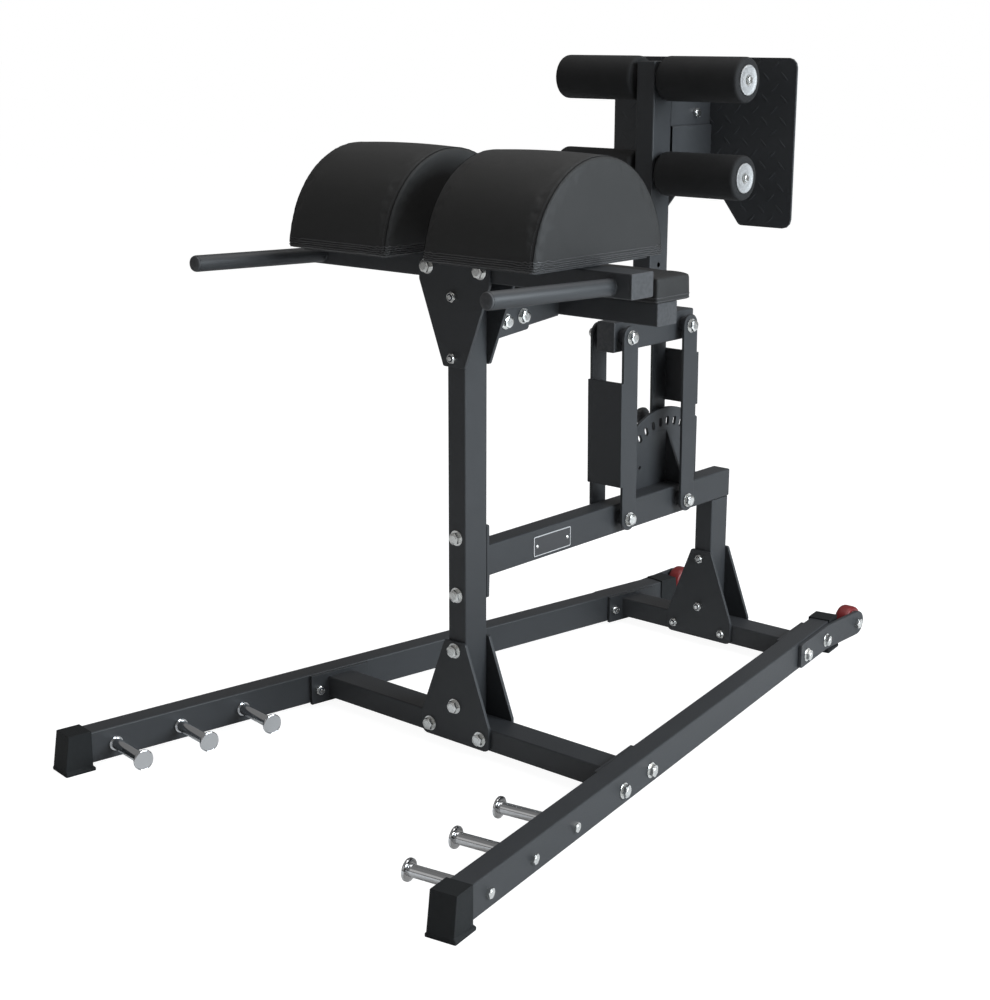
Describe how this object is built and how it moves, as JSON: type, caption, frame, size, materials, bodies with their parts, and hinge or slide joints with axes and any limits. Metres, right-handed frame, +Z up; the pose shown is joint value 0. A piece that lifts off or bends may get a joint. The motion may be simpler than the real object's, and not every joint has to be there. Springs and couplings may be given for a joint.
{
  "type": "glute ham developer",
  "caption": "Floor-standing glute ham developer: splayed rails, half-round thigh pads, knee pad, grab handles, and a foot carriage on parallel links locked by a pop-pin to a slotted plate.",
  "frame": {"origin": "on the floor, under the middle of the machine's box", "axes": "+X to the machine's right, +Y to its rear where the footplate and wheels are, +Z up"},
  "size_m": [1.1626, 1.9242, 1.48],
  "materials": {
    "frame_steel": "satin black powder coat",
    "boot_rubber": "matte",
    "peg_chrome": "polished",
    "zinc_hardware": "bright zinc",
    "wheel_tyre": "dark red polyurethane with a pale hub",
    "cap_plastic": "moulded",
    "pad_vinyl": "matte black vinyl",
    "roller_foam": "closed-cell foam",
    "data_plate": "blank, with a thin border"
  },
  "bodies": {
    "frame": {"rail_right": "frame_steel", "foot_front_right": "boot_rubber", "foot_rear_right": "boot_rubber", "storage_peg_right_1": "peg_chrome", "storage_peg_right_2": "peg_chrome", "storage_peg_right_3": "peg_chrome", "rail_left": "frame_steel", "foot_front_left": "boot_rubber", "foot_rear_left": "boot_rubber", "storage_peg_left_1": "peg_chrome", "storage_peg_left_2": "peg_chrome", "storage_peg_left_3": "peg_chrome", "front_crossmember": "frame_steel", "rear_crossmember": "frame_steel", "front_upright": "frame_steel", "rear_upright": "frame_steel", "front_tower_gusset_front": "frame_steel", "front_tower_gusset_rear": "frame_steel", "rear_tower_gusset_front": "frame_steel", "rear_tower_gusset_rear": "frame_steel", "pad_gusset_front": "frame_steel", "pad_gusset_rear": "frame_steel", "mid_beam": "frame_steel", "name_plate": "data_plate", "pivot_bolt_front_lower": "zinc_hardware", "pivot_bolt_rear_lower": "zinc_hardware", "sector_plate": "frame_steel", "pad_crossbar": "frame_steel", "crossbar_cap_right": "cap_plastic", "crossbar_cap_left": "cap_plastic", "handle_right": "frame_steel", "handle_left": "frame_steel", "thigh_pad_right": "pad_vinyl", "thigh_pad_left": "pad_vinyl", "knee_pad_frame": "frame_steel", "knee_pad": "pad_vinyl", "wheel_bracket_right": "frame_steel", "wheel_bracket_left": "frame_steel", "wheel_axle_right": "zinc_hardware", "wheel_axle_left": "zinc_hardware"},
    "rear_link": {"rear_link": "frame_steel", "pop_pin_housing": "zinc_hardware"},
    "front_link": {"front_link": "frame_steel"},
    "pop_pin": {"pop_pin_plunger": "cap_plastic"},
    "carriage": {"carriage_beam": "frame_steel", "carriage_cap_front": "cap_plastic", "carriage_cap_rear": "cap_plastic", "pivot_bolt_front_upper": "zinc_hardware", "pivot_bolt_rear_upper": "zinc_hardware", "foot_post": "frame_steel", "footplate_bracket": "frame_steel", "footplate": "frame_steel", "roller_axle_lower": "zinc_hardware", "roller_axle_upper": "zinc_hardware"},
    "roller_lower_right": {"roller_lower_right": "roller_foam"},
    "roller_lower_left": {"roller_lower_left": "roller_foam"},
    "roller_upper_right": {"roller_upper_right": "roller_foam"},
    "roller_upper_left": {"roller_upper_left": "roller_foam"},
    "wheel_right": {"wheel_right": "wheel_tyre"},
    "wheel_left": {"wheel_left": "wheel_tyre"}
  },
  "joints": [
    {"name": "link_swing", "type": "hinge", "parent": "frame", "child": "rear_link", "pos_m": [0, 0.48707, 0.423], "axis": [1, 0, 0], "range_deg": [-27, 27]},
    {"name": "front_link_swing", "type": "hinge", "parent": "frame", "child": "front_link", "pos_m": [0, 0.24907, 0.423], "axis": [1, 0, 0], "range_deg": [-27, 27]},
    {"name": "carriage_level", "type": "hinge", "parent": "rear_link", "child": "carriage", "pos_m": [0, 0.48058, 0.85495], "axis": [1, 0, 0], "range_deg": [-27, 27]},
    {"name": "pop_pin_slide", "type": "slide", "parent": "rear_link", "child": "pop_pin", "axis": [1, 0, 0], "range_m": [0, 0.011]},
    {"name": "roller_lower_right_spin", "type": "hinge", "parent": "carriage", "child": "roller_lower_right", "pos_m": [0, 0.37507, 1.218], "axis": [1, 0, 0], "continuous": true},
    {"name": "roller_lower_left_spin", "type": "hinge", "parent": "carriage", "child": "roller_lower_left", "pos_m": [0, 0.37507, 1.218], "axis": [1, 0, 0], "continuous": true},
    {"name": "roller_upper_right_spin", "type": "hinge", "parent": "carriage", "child": "roller_upper_right", "pos_m": [0, 0.37507, 1.43], "axis": [1, 0, 0], "continuous": true},
    {"name": "roller_upper_left_spin", "type": "hinge", "parent": "carriage", "child": "roller_upper_left", "pos_m": [0, 0.37507, 1.43], "axis": [1, 0, 0], "continuous": true},
    {"name": "wheel_right_spin", "type": "hinge", "parent": "frame", "child": "wheel_right", "pos_m": [0, 0.92207, 0.05], "axis": [1, 0, 0], "continuous": true},
    {"name": "wheel_left_spin", "type": "hinge", "parent": "frame", "child": "wheel_left", "pos_m": [0, 0.92207, 0.05], "axis": [1, 0, 0], "continuous": true}
  ],
  "couplings": [
    {"joint": "front_link_swing", "follows": "link_swing", "ratio": 1},
    {"joint": "carriage_level", "follows": "link_swing", "ratio": -1}
  ]
}
